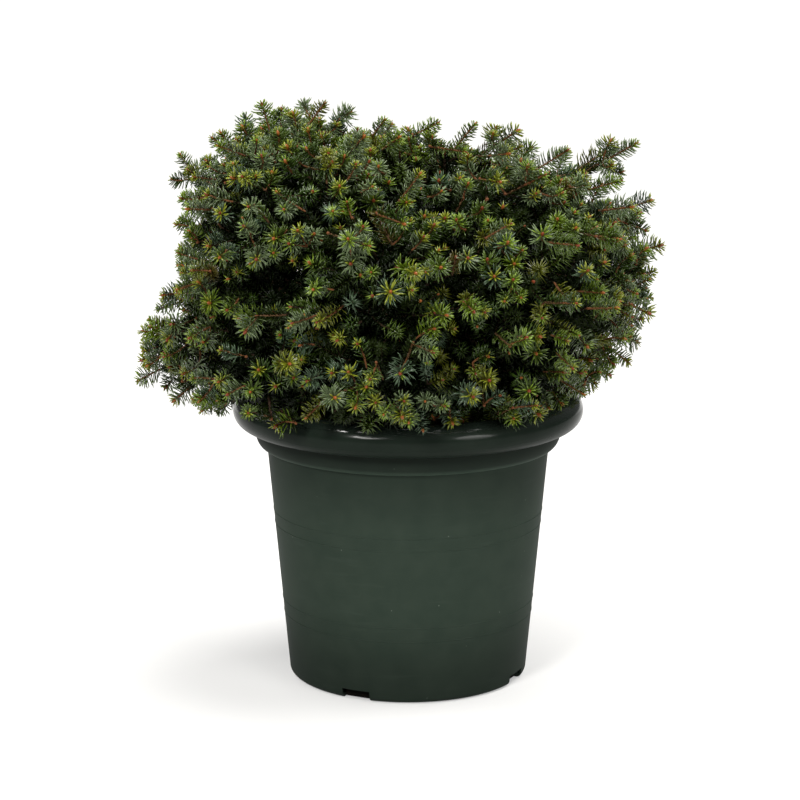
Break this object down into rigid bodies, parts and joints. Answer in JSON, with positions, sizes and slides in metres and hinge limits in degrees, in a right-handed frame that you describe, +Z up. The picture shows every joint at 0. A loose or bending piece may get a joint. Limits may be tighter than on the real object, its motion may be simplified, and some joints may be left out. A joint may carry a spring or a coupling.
{
  "type": "potted dwarf norway spruce",
  "caption": "Low, dense dwarf Norway spruce with a two-lobed mound of short needled shoots, growing in a round dark green plastic nursery pot with a rolled rim.",
  "frame": {"origin": "middle of the pot's flat underside, where the plant stands", "axes": "+Z up along the pot's axis, -Y towards the front, +X to the right as seen from the front"},
  "size_m": [0.3857, 0.3691, 0.4295],
  "materials": {
    "pot_plastic": "satin",
    "soil": "matte",
    "bark": "matte",
    "needles": "matte"
  },
  "bodies": {
    "root": {"pot": "pot_plastic", "soil": "soil", "stem": "bark", "bough_skirt_1": "bark", "foliage_skirt_1": "needles", "bough_skirt_2": "bark", "foliage_skirt_2": "needles", "bough_skirt_3": "bark", "foliage_skirt_3": "needles", "bough_skirt_4": "bark", "foliage_skirt_4": "needles", "bough_skirt_5": "bark", "foliage_skirt_5": "needles", "bough_skirt_6": "bark", "foliage_skirt_6": "needles", "bough_skirt_7": "bark", "foliage_skirt_7": "needles", "bough_skirt_8": "bark", "foliage_skirt_8": "needles", "bough_middle_1": "bark", "foliage_middle_1": "needles", "bough_middle_2": "bark", "foliage_middle_2": "needles", "bough_middle_3": "bark", "foliage_middle_3": "needles", "bough_middle_4": "bark", "foliage_middle_4": "needles", "bough_middle_5": "bark", "foliage_middle_5": "needles", "bough_middle_6": "bark", "foliage_middle_6": "needles", "bough_middle_7": "bark", "foliage_middle_7": "needles", "bough_crest_left_front": "bark", "foliage_crest_left_front": "needles", "bough_crest_left_back": "bark", "foliage_crest_left_back": "needles", "bough_crest_right_front": "bark", "foliage_crest_right_front": "needles", "bough_crest_right_back": "bark", "foliage_crest_right_back": "needles", "bough_nest": "bark", "foliage_nest": "needles"}
  },
  "joints": []
}
